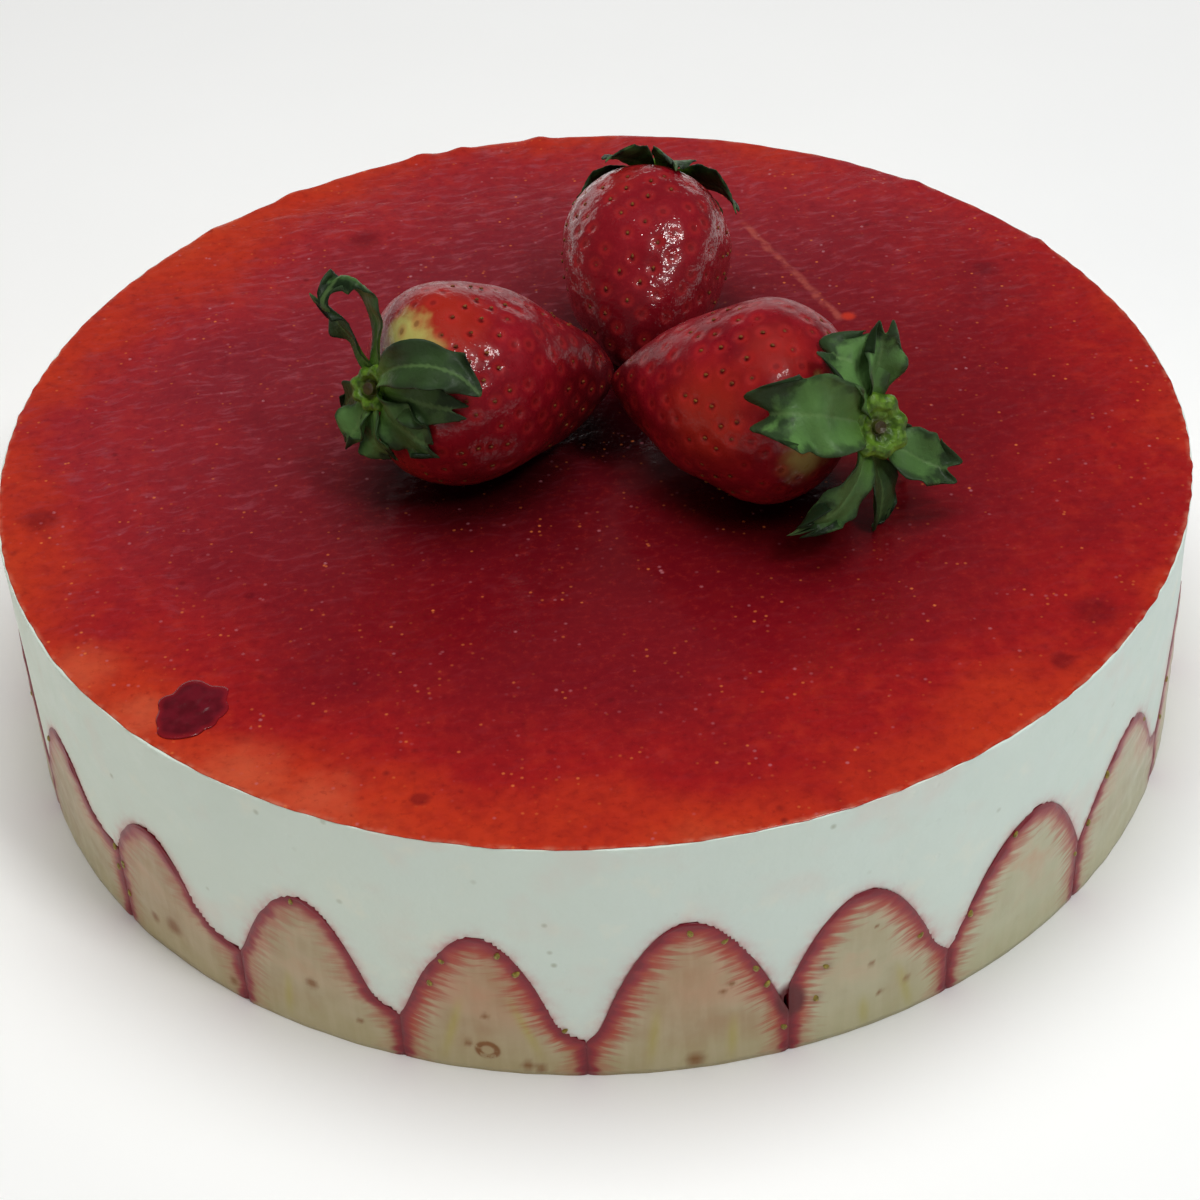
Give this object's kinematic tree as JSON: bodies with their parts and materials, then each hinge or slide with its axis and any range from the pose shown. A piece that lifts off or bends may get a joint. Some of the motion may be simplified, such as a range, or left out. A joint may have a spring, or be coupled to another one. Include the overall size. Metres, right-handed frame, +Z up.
{
  "type": "strawberry cake",
  "caption": "Round ring-moulded cream cake with halved strawberries round its side, a red jelly top and whole berries with their leaves in the middle.",
  "frame": {"origin": "middle of the cake's flat underside, on the surface it stands on", "axes": "+Z up along the cake's axis, -Y towards the front, where the picture was taken from, +X to its right"},
  "size_m": [0.23, 0.23, 0.0999],
  "materials": {
    "cream": "set whipped cream, off-white, satin",
    "jelly": "clear red fruit jelly, glossy, orange at the rim and dark red in the middle",
    "cut_berry": "cut strawberry flesh, beige with a red rim, moist",
    "sunk_berry": "dark red berry under jelly, glossy",
    "berry_skin": "strawberry skin with seeds, glossy",
    "berry_leaf": "green strawberry leaf, satin"
  },
  "bodies": {
    "root": {"cream_body": "cream", "jelly_top": "jelly", "sunk_berry_piece": "sunk_berry", "berry_half_01": "cut_berry", "berry_half_02": "cut_berry", "berry_half_03": "cut_berry", "berry_half_04": "cut_berry", "berry_half_05": "cut_berry", "berry_half_06": "cut_berry", "berry_half_07": "cut_berry", "berry_half_08": "cut_berry", "berry_half_09": "cut_berry", "berry_half_10": "cut_berry", "berry_half_11": "cut_berry", "berry_half_12": "cut_berry", "berry_half_13": "cut_berry", "berry_half_14": "cut_berry", "berry_half_15": "cut_berry", "berry_half_16": "cut_berry", "berry_half_17": "cut_berry", "berry_half_18": "cut_berry", "berry_half_19": "cut_berry", "berry_half_20": "cut_berry", "berry_half_21": "cut_berry", "berry_half_22": "cut_berry", "whole_berry_left": "berry_skin", "calyx_left": "berry_leaf", "whole_berry_right": "berry_skin", "calyx_right": "berry_leaf", "whole_berry_back": "berry_skin", "calyx_back": "berry_leaf"}
  },
  "joints": []
}
